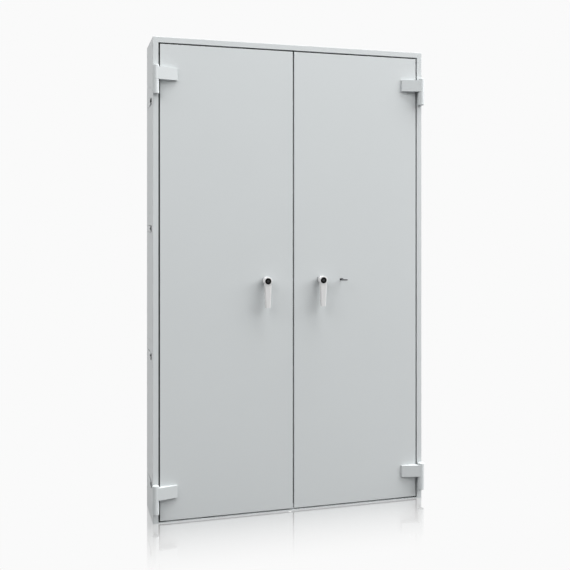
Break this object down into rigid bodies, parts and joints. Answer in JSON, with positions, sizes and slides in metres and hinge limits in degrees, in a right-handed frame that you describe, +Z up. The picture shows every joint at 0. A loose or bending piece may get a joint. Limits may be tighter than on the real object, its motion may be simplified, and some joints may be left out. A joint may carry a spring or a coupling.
{
  "type": "double-leaf vault door in its frame",
  "caption": "Flush double-leaf vault door in a deep welded steel frame, with lift-off hinges, drop lever handles and a double-bit key.",
  "frame": {"origin": "middle of the threshold plate's underside", "axes": "+X to the right seen from the front, +Y into the wall, +Z up"},
  "size_m": [1.329, 0.3155, 2.2],
  "materials": {
    "frame_paint": "light grey textured powder coat",
    "leaf_paint": "light grey textured powder coat",
    "hinge_paint": "light grey powder coat on cast steel",
    "lever_lacquer": "satin silver grey lacquer",
    "black_cap": "moulded black plastic",
    "bright_steel": "turned steel",
    "door_seal": "black extruded seal",
    "fire_strip": "black swelling fire strip"
  },
  "bodies": {
    "leaf_left": {"bolt_lid_left": "leaf_paint", "handle_collar_left": "lever_lacquer", "hinge_strap_left_bottom": "hinge_paint", "hinge_strap_left_top": "hinge_paint", "leaf_back_left": "leaf_paint", "leaf_core_left": "leaf_paint", "leaf_plate_left": "leaf_paint", "meeting_strip_left": "fire_strip"},
    "leaf_right": {"bolt_lid_right": "leaf_paint", "handle_collar_right": "lever_lacquer", "hinge_strap_right_bottom": "hinge_paint", "hinge_strap_right_top": "hinge_paint", "leaf_back_right": "leaf_paint", "leaf_core_right": "leaf_paint", "leaf_plate_right": "leaf_paint", "lock_bolts": "bright_steel", "lock_face": "black_cap", "meeting_strip_right": "fire_strip"},
    "frame": {"casing_head": "frame_paint", "casing_left": "frame_paint", "casing_right": "frame_paint", "hinge_knuckle_left_bottom": "hinge_paint", "hinge_knuckle_left_top": "hinge_paint", "hinge_knuckle_right_bottom": "hinge_paint", "hinge_knuckle_right_top": "hinge_paint", "rebate_head": "frame_paint", "rebate_left": "frame_paint", "rebate_right": "frame_paint", "seal_head": "door_seal", "seal_left": "door_seal", "seal_right": "door_seal", "sill": "frame_paint", "wall_anchor_left_1": "frame_paint", "wall_anchor_left_2": "frame_paint", "wall_anchor_left_3": "frame_paint", "wall_anchor_left_4": "frame_paint", "wall_anchor_right_1": "frame_paint", "wall_anchor_right_2": "frame_paint", "wall_anchor_right_3": "frame_paint", "wall_anchor_right_4": "frame_paint"},
    "handle_left": {"handle_cap_left": "black_cap", "handle_lever_left": "lever_lacquer"},
    "handle_right": {"handle_cap_right": "black_cap", "handle_lever_right": "lever_lacquer"},
    "key": {"key": "bright_steel"}
  },
  "joints": [
    {"name": "leaf_left_hinge", "type": "hinge", "parent": "frame", "child": "leaf_left", "pos_m": [-0.649, -0.146, 1], "axis": [0, 0, -1], "range_deg": [0, 120]},
    {"name": "leaf_right_hinge", "type": "hinge", "parent": "frame", "child": "leaf_right", "pos_m": [0.649, -0.146, 1], "axis": [0, 0, 1], "range_deg": [0, 120]},
    {"name": "handle_left_turn", "type": "hinge", "parent": "leaf_left", "child": "handle_left", "pos_m": [-0.135, -0.13, 1.088], "axis": [0, -1, 0], "range_deg": [0, 90]},
    {"name": "handle_right_turn", "type": "hinge", "parent": "leaf_right", "child": "handle_right", "pos_m": [0.135, -0.13, 1.088], "axis": [0, 1, 0], "range_deg": [0, 90]},
    {"name": "key_turn", "type": "hinge", "parent": "leaf_right", "child": "key", "pos_m": [0.241, -0.13, 1.088], "axis": [0, 1, 0], "range_deg": [0, 180]}
  ]
}
